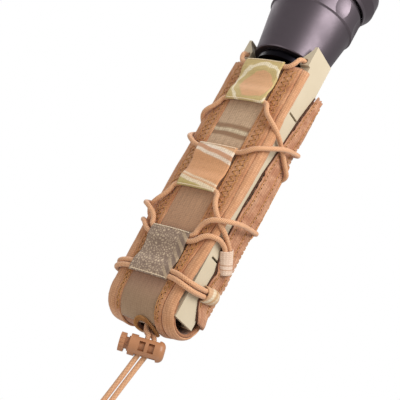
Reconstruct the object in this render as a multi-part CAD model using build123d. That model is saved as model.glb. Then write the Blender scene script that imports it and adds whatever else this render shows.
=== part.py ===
"""Hand-held tactical flashlight in a shock-cord laced belt pouch.

Lengths are millimetres. Heights Z and depths Y are first given in the pouch's own frame: the light's
axis is X = Y = 0, the pouch floor is Z = 0, its front faces -Y. save() then moves every piece to the
part's frame, whose origin is the middle of the belt sleeve on the back.
"""
from build123d import *
import math
import os

# ---- frame: the belt sleeve's middle, in the pouch's own frame
SLEEVE_Y, SLEEVE_Z = 25.4, 112.0

# ---- pouch: rigid side channels
WALL_OUT, WALL_T = 27.5, 2.2          # outer half width and sheet thickness
WALL_FRONT, WALL_BACK = -12.2, 7.0    # depth that the channel spans
EAR_FRONT, EAR_LOW = -14.4, 191.4     # the ear above the front panel stands further forward
WALL_BOTTOM, WALL_TOP = 9.5, 206.0
FLANGE_W = 7.0                        # inward lip of the channel
EAR_DROP = 9.0                        # slant of the front lip's top edge
CORD_D = 3.2                          # 1/8 in shock cord
EAR_HOLE = (23.0, 194.2, 2.1)         # half spacing, height, radius

# ---- pouch: fabric panels, each an arc across the width
PANEL_R = 121.0
PANEL_IN, PANEL_T = 15.5, 2.0         # inner apex from the axis, thickness
FACING_T = 0.7
FRONT_HALF, FRONT_LOW, FRONT_TOP = 27.0, 17.5, 191.0
BACK_HALF, BACK_TOP = 24.6, 183.0
STRIP_HALF = 13.6
BACK_EDGE = (25.0, 28.2, 7.3, 16.2, 11.0, 183.0)   # x0, x1, y0, y1, z0, z1
FLAP = (27.6, 28.2)                   # x0, x1 of the back edge's forward flap
FLAP_OUTLINE = ((9, 150), (1, 150), (-5, 112), (-7, 90), (-7, 50), (-1, 40), (-1, 24), (9, 24))
KEEPERS = ((3.0, 55.4, 40.0, 12.0), (4.0, 32.3, 105.0, 9.2))      # y, z, slant, length
SLING_R = 10.0                        # radius of the fold under the light
DRAIN = (5.0, -3.0, 7.0)              # centre x, y and radius

# ---- cord tunnels on the front
TUNNEL_HALF, TUNNEL_TALL = 14.2, 32.4
TUNNEL_GAP, TUNNEL_T = 4.3, 1.1
TUNNEL_Z = {"top": 170.6, "middle": 103.7, "bottom": 42.2}
LANE_INSET = 3.1                      # cord centre inside a tunnel's edge

# ---- back: belt sleeve
SPINE = (19.0, 17.9, 22.4, 22.0, 170.0)            # half width, y0, y1, z0, z1
SLEEVE_GAP, SLEEVE_TALL, STRAP_T = 6.0, 55.0, 2.5

# ---- light, turned about the axis
BODY_R, BODY_IN = 15.2, 13.45
CAP_LOW, CAP_TOP = 8.0, 38.0
TUBE_TOP = 190.0
NECK_R, NECK_LOW, HEAD_LOW = 20.0, 191.8, 197.8
HEAD_R0, HEAD_R1, HEAD_TOP = 23.4, 28.6, 234.0
RING_R, RING_TOP, GROOVE_R, BEZEL_LOW = 29.8, 250.0, 28.2, 252.8
FLAT_R, FLAT_DEEP = 30.0, 1.1         # ball that mills the ring's round flats, and how deep it goes
BEZEL_R0, BEZEL_R1, BEZEL_TOP = 30.4, 34.4, 270.0
CELL_R, CELL_LONG, CELL_LOW = 13.0, 67.5, 29.0
REFLECTOR_LOW, REFLECTOR_TOP, REFLECTOR_R = 207.0, 261.0, 28.4

# ---- cord lock under the floor
LOCK_AT = (14.2, -5.0, -12.4)
LOCK_AXIS = (0.81, 0.55, 0.20)
TAIL_DIR = (-0.20, 0.0, -0.98)
LOCK_R, LOCK_BORE, LOCK_HALF = 6.3, 4.7, 10.5
PLUNGER_R, PLUNGER_OUT, LOCK_TRAVEL = 4.5, 6.0, 2.6
TAIL_OFFSET = 1.85                    # half spacing of the two tails


def save(name, shape):
    """Move a finished piece into the part's frame and write it as the node NAME."""
    placed = Pos(0, -SLEEVE_Y, -SLEEVE_Z) * shape
    placed.label = name
    export_step(placed, f"parts/{name}.step")


def block(x0, x1, y0, y1, z0, z1):
    size = (x1 - x0, y1 - y0, z1 - z0)
    return Pos((x0 + x1) / 2, (y0 + y1) / 2, (z0 + z1) / 2) * Box(*size)


def disc(radius, z0, z1):
    return Pos(0, 0, (z0 + z1) / 2) * Cylinder(radius, z1 - z0)


def tube(outer, inner, z0, z1):
    return disc(outer, z0, z1) - disc(inner, z0 - 1, z1 + 1)


def turned(points):
    """Solid of revolution from (radius, height) points."""
    outline = Polyline([(r, 0, z) for r, z in points], close=True)
    return revolve(make_face(outline), Axis.Z, 360)


def group(solids):
    return Compound(children=list(solids))


def curved_sheet(front, inner, thick, x0, x1, z0, z1):
    """A panel bent about a vertical axis: inner apex at INNER from the light's axis."""
    side = -1 if front else 1
    radius = PANEL_R + inner - PANEL_IN
    centre = Pos(0, side * (inner - radius), (z0 + z1) / 2)
    shell = Cylinder(radius + thick, z1 - z0) - Cylinder(radius, z1 - z0 + 2)
    y0, y1 = sorted((side * 2.0, side * 40.0))
    return (centre * shell) & block(x0, x1, y0, y1, z0 - 1, z1 + 1)


def mirrored(shape):
    return mirror(shape, Plane.YZ)


# ---------------------------------------------------------------- pouch shell
def side_wall():
    """Right-hand channel: outer web, front and back lips, ear with a cord hole, slots."""
    x0, x1 = WALL_OUT - WALL_T, WALL_OUT
    web = block(x0, x1, WALL_FRONT, WALL_BACK, WALL_BOTTOM, WALL_TOP)
    lip = block(WALL_OUT - FLANGE_W, x1, WALL_FRONT, WALL_FRONT + WALL_T, WALL_BOTTOM, EAR_LOW)
    ear = block(x0, x1, EAR_FRONT, WALL_BACK, EAR_LOW - 0.01, WALL_TOP)
    ear_lip = block(WALL_OUT - FLANGE_W, x1, EAR_FRONT, WALL_FRONT + WALL_T, EAR_LOW - 0.01, WALL_TOP)
    rear = block(WALL_OUT - FLANGE_W, x1, WALL_BACK - WALL_T, WALL_BACK, WALL_BOTTOM, WALL_TOP - 23)
    reach = WALL_OUT - FLANGE_W - 1
    slant = Polyline([(reach, 0, WALL_TOP - EAR_DROP - 1), (reach, 0, WALL_TOP + 1), (x0, 0, WALL_TOP + 1),
                      (x0, 0, WALL_TOP - 2)], close=True)
    cut = Pos(0, EAR_FRONT - 1, 0) * extrude(make_face(slant), 8, dir=(0, 1, 0))
    x, z, radius = EAR_HOLE
    hole = Pos(x, EAR_FRONT, z) * Rot(90, 0, 0) * Cylinder(radius, 12)
    wall = (web + lip + ear + ear_lip + rear) - cut - hole
    for z in (52.0, 158.5):
        wall -= block(x0 - 1, x1 + 1, -8.5, 1.5, z - 0.8, z + 0.8)
    return wall


def bottom_sling():
    """Fabric that folds under the light from the front panel to the back panel."""
    t = PANEL_T
    x = FRONT_HALF - 2.0
    outer = block(-x, x, -PANEL_IN - t, PANEL_IN + t, 0, FRONT_LOW - 0.4)
    corners = outer.edges().filter_by(Axis.X).group_by(Axis.Z)[0]
    outer = fillet(corners, SLING_R)
    inner = block(-x - 1, x + 1, -PANEL_IN, PANEL_IN, t, FRONT_LOW + 1)
    corners = inner.edges().filter_by(Axis.X).group_by(Axis.Z)[0]
    inner = fillet(corners, SLING_R - t)
    dx, dy, radius = DRAIN
    return outer - inner - Pos(dx, dy, 0) * disc(radius, -2, t + 2)


def drain_grommet():
    """Stitched eyelet ring round the drain hole."""
    dx, dy, radius = DRAIN
    barrel = tube(radius - 0.15, radius - 1.2, -0.9, PANEL_T + 0.5)
    flange = tube(radius + 1.6, radius - 1.2, -0.9, -0.1)
    return Pos(dx, dy, 0) * (barrel + flange)


def cord_tunnel(z_mid):
    """Webbing patch raised over two cords, open at its left and right."""
    low, high = z_mid - TUNNEL_TALL / 2, z_mid + TUNNEL_TALL / 2
    base = PANEL_IN + PANEL_T + FACING_T + 0.05
    hump = curved_sheet(True, base, TUNNEL_GAP + TUNNEL_T, -TUNNEL_HALF, TUNNEL_HALF, low, high)
    room = curved_sheet(True, base - 1, TUNNEL_GAP + 1, -40, 40, low + 1.2, high - 1.2)
    return hump - room


def belt_strap():
    """Stiff webbing loop behind the spine that a belt passes through."""
    half, _, y0, _, _ = SPINE
    y1 = y0 + SLEEVE_GAP
    low, high = SLEEVE_Z - SLEEVE_TALL / 2, SLEEVE_Z + SLEEVE_TALL / 2
    outer = block(-half, half, y0 + 0.02, y1 + STRAP_T, low - STRAP_T, high + STRAP_T)
    outer = fillet(outer.edges().filter_by(Axis.X).group_by(Axis.Y)[-1], 3.0)
    room = block(-half - 1, half + 1, y0 - 1, y1, low, high)
    room = fillet(room.edges().filter_by(Axis.X).group_by(Axis.Y)[-1], 1.0)
    return outer - room


def snap(radius, y0, y1):
    """A round snap part in the strap's lower fold."""
    z = SLEEVE_Z - SLEEVE_TALL / 2 - STRAP_T - 8.0
    return Pos(0, (y0 + y1) / 2, z) * Rot(90, 0, 0) * Cylinder(radius, y1 - y0)


def back_edge():
    """Padded right back edge with the thin flap that the lacing folds forward over the channel's side."""
    roll = block(*BACK_EDGE)
    roll = fillet(roll.edges().filter_by(Axis.Z), 1.4)
    outline = make_face(Polyline([(FLAP[0], y, z) for y, z in FLAP_OUTLINE], close=True))
    return roll + extrude(outline, FLAP[1] - FLAP[0], dir=(1, 0, 0))


def edge_loop(y, z, slant, length):
    """U-shaped keeper on the right back edge, over the ends of two cords.

    SLANT is the angle in degrees between its length and straight down.
    """
    base = BACK_EDGE[1] + 0.05
    outer = Pos(2.45, 0, 0) * Box(4.9, 9.4, length)
    room = Pos(1.4, 0, 0) * Box(4.8, 7.4, length + 2)
    return Pos(base, y, z) * Rot(slant, 0, 0) * (outer - room)


# ---------------------------------------------------------------- cords
def cord_tube(name, points, diameter=CORD_D):
    """Straight runs joined by tangent arcs as large as the two runs beside each point allow.

    A point's fourth number, if it has one, is the size of the edge that the cord is pulled round there.
    """
    vectors = [Vector(*p[:3]) for p in points]
    radii = []
    for i in range(1, len(vectors) - 1):
        before, after = vectors[i] - vectors[i - 1], vectors[i + 1] - vectors[i]
        half_turn = math.radians(before.get_angle(after)) / 2
        largest = 0.45 * min(before.length, after.length) / math.tan(half_turn)
        radii.append(min(largest, points[i][3]) if len(points[i]) > 3 else largest)
    path = FilletPolyline(*vectors, radius=radii)
    length = path.length
    section = Plane(origin=path @ 0, z_dir=path % 0) * Circle(diameter / 2)
    solid = sweep(section, path=path)
    share = solid.volume / (math.pi * diameter ** 2 / 4 * length)
    print(f"{name}: length {length:.1f}, volume share {share:.4f}, radii",
          " ".join(f"{r:.1f}" for r in radii))
    return solid


def lane_height(tunnel, end, inset=LANE_INSET):
    """Height of a cord that lies just inside a tunnel's upper (+1) or lower (-1) edge."""
    return TUNNEL_Z[tunnel] + end * (TUNNEL_TALL / 2 - inset)


def lane(name, z_front, half_route):
    """One lacing strand: through a tunnel and along HALF_ROUTE on the right, mirrored on the left."""
    front = PANEL_IN + PANEL_T + FACING_T + 0.15 + CORD_D / 2
    near = (TUNNEL_HALF + 2.8, -front, z_front)
    right = [near] + list(half_route)
    left = [(-x, *rest) for x, *rest in reversed(right)]
    return cord_tube(name, left + right)


def lacing():
    """All the strands of the shock cord, in the order they are met from the top."""
    end = SPINE[0] + 0.45
    wrap = CORD_D / 2 + 1.8               # arc round a back edge
    ear_x, ear_z, _ = EAR_HOLE
    strands = {
        "top_upper": (lane_height("top", 1),
                      [(21.0, -19.8, 187.0), (ear_x, -18.4, ear_z), (ear_x, -9.4, ear_z + 0.4)]),
        "top_lower": (lane_height("top", -1),
                      [(19.4, -20.1, 149.6), (26.6, -20.2, 143.6), (30.2, -14.0, 140.2), (30.0, -3.0, 136.4),
                       (30.4, 8.0, 130.0), (30.1, 18.1, 125.0, wrap), (end, 19.6, 123.0)]),
        "middle_upper": (lane_height("middle", 1),
                         [(25.6, -21.0, 122.0), (31.8, -15.0, 127.0), (34.2, -3.5, 135.0), (32.6, 9.0, 139.8),
                          (30.1, 18.1, 143.5, wrap), (end, 19.6, 145.0)]),
        "middle_lower": (lane_height("middle", -1),
                         [(18.4, -20.2, 81.6), (25.8, -20.4, 72.8), (30.2, -14.4, 67.8), (30.0, -7.0, 65.4),
                          (30.2, -0.8, 62.6), (30.4, 3.6, 57.4)]),
        "bottom_upper": (lane_height("bottom", 1),
                         [(18.0, -20.8, 63.8), (25.0, -24.0, 68.6), (34.0, -18.2, 72.4), (34.8, -6.0, 77.4),
                          (32.4, 7.0, 81.0), (30.1, 18.1, 84.0, wrap), (end, 19.6, 85.0)]),
        "bottom_second": (lane_height("bottom", 1, LANE_INSET + 3.5),
                          [(24.6, -20.6, 59.6), (30.2, -15.6, 61.4), (30.1, -10.0, 61.8), (30.2, -3.5, 60.2),
                           (30.4, 0.9, 55.2)]),
        "bottom_third": (lane_height("bottom", -1, LANE_INSET + 3.5),
                         [(25.8, -20.2, 30.4), (30.2, -14.4, 30.0), (30.3, -4.5, 32.0), (30.4, 5.0, 34.4)]),
        "bottom_lower": (lane_height("bottom", -1),
                         [(25.8, -20.2, 26.8), (30.2, -14.4, 26.2), (30.3, -4.5, 28.2), (30.4, 5.0, 30.8)]),
    }
    return group(lane(name, z, route) for name, (z, route) in strands.items())


def unit(vector):
    return Vector(*vector).normalized()


def tail_route(side):
    """Control points of one free tail, SIDE -1 or 1 across the lock."""
    down = unit(TAIL_DIR)
    lock = Vector(*LOCK_AT)
    along = unit(LOCK_AXIS) * (side * TAIL_OFFSET)
    beside = Vector(0, side, 0)
    return [
        tuple(Vector(4.6, -3.0, 5.6) + beside * 1.8),
        tuple(Vector(5.8, -3.3, -2.6) + beside * 1.9),
        tuple(lock + down * -7.2 + along + beside * 0.7),
        tuple(lock + down * 22.0 + along),
        tuple(lock + down * 50.0 + along * 1.5 + Vector(0, -0.8 * side, 0)),
        tuple(lock + down * 78.0 + along * 1.1),
    ]


def tail_knot():
    """The overhand knot that joins the two tails at their end."""
    at = Vector(*LOCK_AT) + unit(TAIL_DIR) * 81.6
    return Pos(at.X, at.Y, at.Z) * Sphere(5.6)


# ---------------------------------------------------------------- cord lock
def lock_plane():
    """Frame of the cord lock: Z along the barrel, X along the tails."""
    axis = unit(LOCK_AXIS)
    down = unit(TAIL_DIR)
    across = (down - axis * down.dot(axis)).normalized()
    return Plane(origin=LOCK_AT, x_dir=tuple(across), z_dir=tuple(axis))


def cord_slot(tall):
    """Oval way for the two tails, its long side along the barrel."""
    slot = SlotOverall(2 * (TAIL_OFFSET + CORD_D / 2 + LOCK_TRAVEL) + 4.4, CORD_D + 3.0)
    return Rot(0, 90, 0) * Pos(0, 0, -tall / 2) * extrude(slot, tall)


def lock_barrel():
    """Barrel with a way through for the tails and two windows in its front and back."""
    body = Cylinder(LOCK_R, 2 * LOCK_HALF)
    body = fillet(body.edges().filter_by(GeomType.CIRCLE).group_by(Axis.Z)[-1], 3.4)
    bore = Pos(0, 0, -2.4) * Cylinder(LOCK_BORE, 2 * LOCK_HALF)
    way = Box(2 * LOCK_R + 2, 7.4, 13.0)
    barrel = body - bore - way
    for z in (-3.0, 2.6):
        barrel -= Pos(0, 0, z) * Box(5.6, 2 * LOCK_R + 2, 3.6)
    return lock_plane() * barrel


def lock_plunger():
    """Plunger with a ribbed push button, open round the tails."""
    low = -LOCK_HALF - PLUNGER_OUT
    stem = Pos(0, 0, -3.0) * Cylinder(PLUNGER_R, 14.6)
    head = Pos(0, 0, low + 1.6) * Cylinder(5.6, 3.2)
    for i in range(14):
        head -= Rot(0, 0, i * 360 / 14) * Pos(6.0, 0, low + 1.6) * Cylinder(0.75, 4)
    neck = Pos(0, 0, low + 4.0) * Cylinder(3.6, 3.2)
    upper = Pos(0, 0, -LOCK_HALF + 0.3) * Cylinder(PLUNGER_R, 2.4)
    return lock_plane() * (head + neck + upper + stem - cord_slot(2 * LOCK_R))


def coil(radius, wire, pitch, height):
    """A plain compression spring, its axis +Z and its base at 0."""
    path = Helix(pitch, height, radius)
    section = Plane(origin=path @ 0, z_dir=path % 0) * Circle(wire / 2)
    return sweep(section, path=path)


def lock_spring():
    return lock_plane() * Pos(0, 0, 5.1) * coil(3.7, 0.6, 1.1, 2.4)


# ---------------------------------------------------------------- the light
def tail_cap():
    """Threaded cap with a well for the button and a ring of grip flutes."""
    z0, z1 = CAP_LOW, CAP_TOP
    cap = turned([(6.7, z0), (13.4, z0), (BODY_R, z0 + 1.8), (BODY_R, z1 - 6), (14.7, z1 - 5.4),
                  (14.7, z1 - 3.2), (BODY_R, z1 - 2.6), (BODY_R, z1), (14.45, z1), (14.45, z0 + 17),
                  (12.9, z0 + 17), (12.9, z0 + 4.6), (6.7, z0 + 4.6)])
    for i in range(24):
        cap -= Rot(0, 0, 15 * i) * Pos(BODY_R + 0.55, 0, z0 + 10) * Cylinder(1.05, 14)
    return cap


def tail_button():
    """Rubber press button: dome outside, flange inside the cap."""
    return turned([(0, CAP_LOW - 1.2), (3.6, CAP_LOW - 0.9), (6.2, CAP_LOW + 0.5), (6.2, CAP_LOW + 6.4),
                   (9.6, CAP_LOW + 6.4), (9.6, CAP_LOW + 7.6), (0, CAP_LOW + 7.6)])


def switch_module():
    return tube(12.8, 10.2, CAP_LOW + 4.7, CAP_LOW + 11) + disc(12.8, CAP_LOW + 10.4, CAP_LOW + 14)


def cell(z0):
    """Cylindrical cell with a raised positive cap."""
    z1 = z0 + CELL_LONG
    return turned([(0, z0), (CELL_R - 0.6, z0), (CELL_R, z0 + 0.6), (CELL_R, z1 - 1.6),
                   (CELL_R - 0.8, z1 - 1),
                   (4.2, z1 - 1), (4.0, z1), (0, z1)])


def body_tube():
    """Battery tube with a male thread at the tail, fluted grip bands and a rear o-ring groove."""
    z0, z1 = CAP_TOP - 12.5, TUBE_TOP
    shell = turned([(BODY_IN, z0), (14.35, z0), (14.35, CAP_TOP - 8.4), (13.95, CAP_TOP - 8.4),
                    (13.95, CAP_TOP - 6.6), (14.35, CAP_TOP - 6.6), (14.35, CAP_TOP + 0.2),
                    (BODY_R, CAP_TOP + 0.2), (BODY_R, z1 - 1), (14.4, z1 - 1), (14.4, z1), (BODY_IN, z1)])
    for low, high in ((52, 92), (104, 144)):
        for i in range(12):
            flute = Pos(BODY_R + 1.5, 0, (low + high) / 2) * Cylinder(2.3, high - low)
            shell -= Rot(0, 0, 30 * i) * flute
    return shell


def ring_seal(radius, wire, z):
    return Pos(0, 0, z) * Torus(radius, wire / 2)


def neck_collar():
    """Dark collar between tube and head, with a shallow waist."""
    z0, z1 = NECK_LOW, HEAD_LOW
    return turned([(14.0, TUBE_TOP + 0.1), (BODY_R, TUBE_TOP + 0.1), (BODY_R, z0 - 0.4), (NECK_R, z0 + 0.6),
                   (NECK_R, z1 - 2.2), (NECK_R - 1.1, z1 - 1.6), (NECK_R - 1.1, z1 - 0.1), (14.0, z1 - 0.1)])


def head_shell():
    """Flared head: closed base with a bore for the heat sink, thin conical wall above."""
    wall = 2.3
    return turned([(14.0, HEAD_LOW), (HEAD_R0 - 0.6, HEAD_LOW), (HEAD_R0, HEAD_LOW + 0.6),
                   (HEAD_R1, HEAD_TOP),
                   (HEAD_R1 - wall, HEAD_TOP), (HEAD_R0 - wall, HEAD_LOW + 5), (14.0, HEAD_LOW + 5)])


def facet_ring():
    """Grip ring with round flats milled in its rim, then the groove under the bezel."""
    inner = 25.9
    ring = turned([(inner, HEAD_TOP + 0.02), (HEAD_R1, HEAD_TOP + 0.02), (RING_R, HEAD_TOP + 1),
                   (RING_R, RING_TOP - 0.8), (RING_R - 0.8, RING_TOP), (GROOVE_R, RING_TOP),
                   (GROOVE_R, BEZEL_LOW - 0.02), (inner + 1.5, BEZEL_LOW - 0.02),
                   (inner + 1.5, RING_TOP - 5.5),
                   (inner, RING_TOP - 9)])
    for i in range(8):
        cutter = Pos(RING_R + FLAT_R - FLAT_DEEP, 0, (HEAD_TOP + RING_TOP) / 2) * Sphere(FLAT_R)
        ring -= Rot(0, 0, 45 * i + 22.5) * cutter
    return ring


def bezel_ring():
    """Front bezel with a retaining lip over the window and scallops in its rim."""
    z0, z1 = BEZEL_LOW, BEZEL_TOP
    ring = turned([(29.6, z0), (BEZEL_R0, z0), (BEZEL_R0 + 0.4, z0 + 2.5), (BEZEL_R1, z0 + 8.2),
                   (BEZEL_R1, z1 - 1),
                   (BEZEL_R1 - 1, z1), (30.0, z1), (29.0, z1 - 4.2), (29.0, z1 - 5.0), (31.4, z1 - 5.0),
                   (31.4, REFLECTOR_TOP - 0.5), (29.6, REFLECTOR_TOP - 2.5)])
    for i in range(6):
        ring -= Rot(0, 0, 60 * i) * Pos(BEZEL_R1, 0, z1 + 7.0) * Rot(0, 90, 0) * Cylinder(9.0, 14)
    return ring


def reflector():
    """Parabolic mirror cup with a rim that the window clamps."""
    steps = 14
    focal = REFLECTOR_R ** 2 / (4 * (REFLECTOR_TOP - REFLECTOR_LOW))
    low = 1.6
    heights = [low + (REFLECTOR_TOP - REFLECTOR_LOW - low) * i / steps for i in range(steps + 1)]
    inner = [(2 * math.sqrt(focal * h), REFLECTOR_LOW + h) for h in heights]
    outer = [(r + 1.0, z) for r, z in inner]
    outer[-1] = (REFLECTOR_R + 1.0, REFLECTOR_TOP)
    return turned(inner + outer[::-1])


def led_dome():
    return Pos(0, 0, 205.7) * (Sphere(2.6) & Pos(0, 0, 2) * Box(8, 8, 4))


def light_parts():
    cell_front = CELL_LOW + CELL_LONG + 0.1
    pin_low = cell_front + CELL_LONG + 0.1
    return {
        "tail_cap": tail_cap(),
        "tail_button": tail_button(),
        "switch_module": switch_module(),
        "tail_spring": Pos(0, 0, CAP_LOW + 14.4) * coil(6.0, 0.8, 1.5, 5.4),
        "cap_o_ring": ring_seal(14.19, 0.42, CAP_TOP - 7.5),
        "battery_cell_rear": cell(CELL_LOW),
        "battery_cell_front": cell(cell_front),
        "body_tube": body_tube(),
        "front_contact": turned([(0, pin_low), (3.5, pin_low), (3.5, pin_low + 6), (6, pin_low + 6),
                                 (6, 184.9), (0, 184.9)]),
        "driver_board": disc(12.9, 185, 186.6),
        "heat_sink": disc(12.6, 186.7, 203.9),
        "neck_collar": neck_collar(),
        "head_shell": head_shell(),
        "led_board": disc(10.0, 204.0, 205.6),
        "led_dome": led_dome(),
        "reflector": reflector(),
        "facet_ring": facet_ring(),
        "bezel_ring": bezel_ring(),
        "window": disc(31.3, 261.1, 264.1),
        "window_seal": tube(31.2, 29.2, 264.15, 264.95),
    }


def pouch_parts():
    right_wall = side_wall()
    half, y0, y1, z0, z1 = SPINE
    facing = PANEL_IN + PANEL_T
    band = curved_sheet(True, facing + 0.02, FACING_T, STRIP_HALF + 0.2, FRONT_HALF, FRONT_LOW, FRONT_TOP)
    edge = back_edge()
    loops = [edge_loop(*keeper) for keeper in KEEPERS]
    parts = {
        "side_wall_right": right_wall,
        "side_wall_left": mirrored(right_wall),
        "front_panel": curved_sheet(True, PANEL_IN, PANEL_T, -FRONT_HALF, FRONT_HALF, FRONT_LOW, FRONT_TOP),
        "back_panel": curved_sheet(False, PANEL_IN, PANEL_T, -BACK_HALF, BACK_HALF, FRONT_LOW, BACK_TOP),
        "bottom_sling": bottom_sling(),
        "drain_grommet": drain_grommet(),
        "centre_strip": curved_sheet(True, facing + 0.02, FACING_T, -STRIP_HALF, STRIP_HALF, FRONT_LOW, 188),
        "edge_band_right": band,
        "edge_band_left": mirrored(band),
        "back_edge_right": edge,
        "back_edge_left": mirrored(edge),
        "edge_loops_right": group(loops),
        "edge_loops_left": group(mirrored(loop) for loop in loops),
        "back_spine": block(-half, half, y0, y1, z0, z1),
        "belt_strap": belt_strap(),
        "snap_cap": snap(6.5, y1 + 2.6, y1 + 5.0),
        "snap_post": snap(2.4, y1 + 0.02, y1 + 2.6),
        "snap_tab": snap_tab(),
    }
    for name, z in TUNNEL_Z.items():
        parts[f"cord_tunnel_{name}"] = cord_tunnel(z)
    return parts


def snap_tab():
    """The strap's free end, held down by the snap."""
    half, _, y1, _, _ = SPINE
    z1 = SLEEVE_Z - SLEEVE_TALL / 2 - STRAP_T - 0.1
    tab = block(-half + 4, half - 4, y1 + 0.05, y1 + 2.55, z1 - 18, z1)
    z = SLEEVE_Z - SLEEVE_TALL / 2 - STRAP_T - 8.0
    return tab - Pos(0, y1 + 1.3, z) * Rot(90, 0, 0) * Cylinder(2.45, 6)


def main():
    os.makedirs("parts", exist_ok=True)
    for name, shape in {**light_parts(), **pouch_parts()}.items():
        save(name, shape)
    save("lacing_cord", lacing())
    save("cord_tail_left", cord_tube("cord_tail_left", tail_route(-1)))
    save("cord_tail_right", cord_tube("cord_tail_right", tail_route(1)))
    save("tail_knot", tail_knot())
    save("lock_barrel", lock_barrel())
    save("lock_plunger", lock_plunger())
    save("lock_spring", lock_spring())


main()
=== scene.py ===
"""Looks of a tactical flashlight carried head-up in a laced belt pouch.

Millimetres in the pouch's own frame (X across, -Y front, Z up from the floor of the pouch, light's axis at
X = Y = 0) are turned into the part's metres by at().
"""
import math

import bmesh
import bpy
from mathutils import Matrix, Vector, noise


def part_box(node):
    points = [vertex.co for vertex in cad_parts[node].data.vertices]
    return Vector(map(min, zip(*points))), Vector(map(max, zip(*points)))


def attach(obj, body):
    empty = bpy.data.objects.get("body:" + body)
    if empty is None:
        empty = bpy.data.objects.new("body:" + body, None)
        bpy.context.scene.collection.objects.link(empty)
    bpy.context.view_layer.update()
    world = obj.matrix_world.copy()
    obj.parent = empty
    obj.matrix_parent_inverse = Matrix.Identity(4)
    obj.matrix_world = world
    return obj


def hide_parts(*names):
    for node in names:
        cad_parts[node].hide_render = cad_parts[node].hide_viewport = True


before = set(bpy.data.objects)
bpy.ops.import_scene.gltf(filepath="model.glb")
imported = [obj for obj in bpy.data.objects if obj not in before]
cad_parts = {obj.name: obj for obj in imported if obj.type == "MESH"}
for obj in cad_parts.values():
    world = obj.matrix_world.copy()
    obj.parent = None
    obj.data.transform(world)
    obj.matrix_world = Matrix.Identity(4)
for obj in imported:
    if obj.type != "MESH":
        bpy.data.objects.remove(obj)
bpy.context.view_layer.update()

MM = 0.001
HEAD_BOX, SLING_BOX, PANEL_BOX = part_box("head_shell"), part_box("bottom_sling"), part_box("front_panel")
AXIS_Y = (HEAD_BOX[0][1] + HEAD_BOX[1][1]) / 2
FLOOR_Z = SLING_BOX[0][2]
FOLD_R = (SLING_BOX[1][1] - SLING_BOX[0][1]) / 2 / MM      # the fabric folds under the light in a half round
FABRIC_TOP = (PANEL_BOX[1][2] - FLOOR_Z) / MM
BACK_TOP = (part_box("back_panel")[1][2] - FLOOR_Z) / MM
TUNNELS = {name: (sum(c[2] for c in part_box(f"cord_tunnel_{name}")) / 2 - FLOOR_Z) / MM
           for name in ("top", "middle", "bottom")}
CORD_D = 3.2


def at(x, y, z):
    return Vector((x * MM, AXIS_Y + y * MM, FLOOR_Z + z * MM))


# ------------------------------------------------------------------ camera and light
def aim(azimuth, elevation, roll):
    """Camera axes: right, up, back, for a camera turned by these degrees round the object."""
    azimuth, elevation, roll = (math.radians(a) for a in (azimuth, elevation, roll))
    back = Vector((math.sin(azimuth) * math.cos(elevation), -math.cos(azimuth) * math.cos(elevation),
                   math.sin(elevation)))
    level = Vector((math.cos(azimuth), math.sin(azimuth), 0))
    up = back.cross(level)
    return (level * math.cos(roll) + up * math.sin(roll), up * math.cos(roll) - level * math.sin(roll), back)


TARGET = at(-10.1, 0, 90.1)
CAMERA_AWAY, LENS = 0.6574, 93.8
RIGHT, UP, BACK = aim(41.26, -19.04, 29.04)
camera = bpy.data.objects.new("camera", bpy.data.cameras.new("camera"))
camera.matrix_world = Matrix.LocRotScale(
    TARGET + BACK * CAMERA_AWAY, Matrix((RIGHT, UP, BACK)).transposed().to_quaternion(), None)
camera.data.sensor_width = 36.0
camera.data.lens = LENS
camera.data.clip_start = 0.01
bpy.context.collection.objects.link(camera)
bpy.context.scene.camera = camera
bpy.context.scene.view_settings.view_transform = "Standard"


def softbox(name, direction, size, power, colour=(1, 1, 1)):
    """A square area light one metre from the object, facing it."""
    lamp = bpy.data.lights.new(name, "AREA")
    lamp.size, lamp.energy, lamp.color = size, power, colour
    made = bpy.data.objects.new(name, lamp)
    away = direction.normalized()
    made.matrix_world = Matrix.LocRotScale(TARGET + away, away.to_track_quat("Z", "Y"), None)
    bpy.context.collection.objects.link(made)


softbox("key", BACK * 0.65 + RIGHT * 1.0 + UP * 0.55, 0.7, 11.0)
softbox("fill", BACK * 0.7 - RIGHT * 0.9 + UP * 0.1, 0.9, 2.5)
softbox("under", BACK * 0.4 - UP * 0.9, 0.7, 1.2)
softbox("rear", -BACK * 0.8 + UP * 0.8, 0.9, 4.0)


# ------------------------------------------------------------------ node helpers
def linear(hex_colour):
    """sRGB hex to linear RGBA."""
    channels = [int(hex_colour[i:i + 2], 16) / 255 for i in (1, 3, 5)]
    return tuple(c / 12.92 if c <= 0.04045 else ((c + 0.055) / 1.055) ** 2.4 for c in channels) + (1.0,)


def add(tree, kind, sockets=None, stops=None, **settings):
    """Add a node: its settings, its sockets (a value or the socket linked to it), its ramp's stops."""
    made = tree.nodes.new(kind)
    for name, value in settings.items():
        setattr(made, name, value)
    for name, value in (sockets or {}).items():
        if isinstance(value, bpy.types.NodeSocket):
            tree.links.new(value, made.inputs[name])
        else:
            made.inputs[name].default_value = value
    for i, (place, hex_colour) in enumerate(stops or ()):
        element = made.color_ramp.elements[i] if i < 2 else made.color_ramp.elements.new(place)
        element.position, element.color = place, linear(hex_colour)
    return made


def new_material(name, **sockets):
    """A Principled material with the uniform values set on the shader itself."""
    made = bpy.data.materials.new(name)
    made.use_nodes = True
    shader = made.node_tree.nodes["Principled BSDF"]
    for key, value in sockets.items():
        shader.inputs[key.replace("_", " ")].default_value = value
    return made, made.node_tree, shader


STUDIO_WHITE, AMBIENT = 1.0, 0.5      # brightness of the background itself, and of the light it gives


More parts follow.
